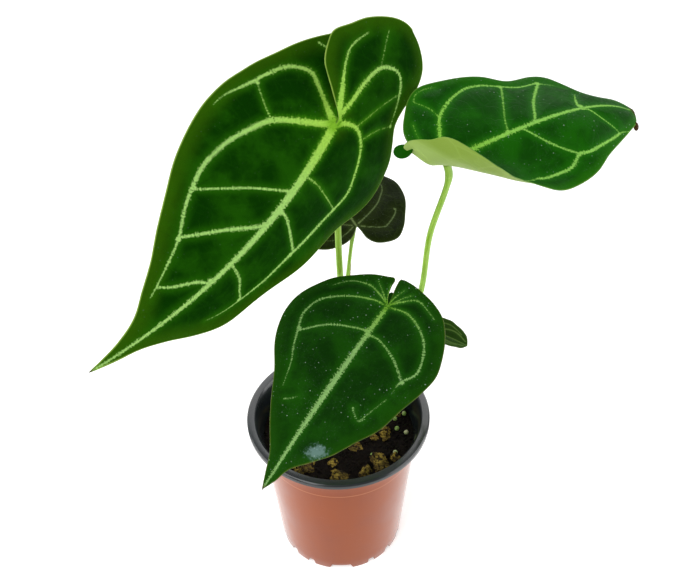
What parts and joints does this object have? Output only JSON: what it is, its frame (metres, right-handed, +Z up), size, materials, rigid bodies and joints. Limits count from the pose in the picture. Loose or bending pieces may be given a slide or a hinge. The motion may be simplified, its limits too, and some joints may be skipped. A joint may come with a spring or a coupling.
{
  "type": "potted anthurium hybrid",
  "caption": "Potted aroid with velvety heart-shaped leaves and pale veins on long green stalks, growing in bark soil in a round plastic nursery pot.",
  "frame": {"origin": "middle of the pot's foot, on the surface that the pot stands on", "axes": "+Z up along the pot's axis; +X to the right and -Y towards the front of the plant"},
  "size_m": [0.2832, 0.2091, 0.365],
  "materials": {
    "pot_plastic": "satin terracotta brown outside, dark grey inside and on the rim",
    "bark_soil": "matte, near-black brown with golden brown bark and coir chips and pale round beads",
    "crown_tissue": "matte olive green, with dry brown sheaths",
    "stalk_skin": "smooth yellow-green with a slight gloss",
    "blade_velvet": "velvety dark green with pale lime veins, paler underneath",
    "blade_glossy": "glossy dark green with pale lime veins, paler underneath",
    "blade_bronze": "satin bronze green with pale veins",
    "blade_olive": "satin olive green, ribbed"
  },
  "bodies": {
    "root": {"pot": "pot_plastic", "soil": "bark_soil", "crown": "crown_tissue", "stalk_large": "stalk_skin", "blade_large": "blade_velvet", "stalk_right": "stalk_skin", "blade_right": "blade_glossy", "stalk_front": "stalk_skin", "blade_front": "blade_velvet", "stalk_young": "stalk_skin", "blade_young": "blade_bronze", "stalk_small": "stalk_skin", "blade_small": "blade_olive"}
  },
  "joints": []
}
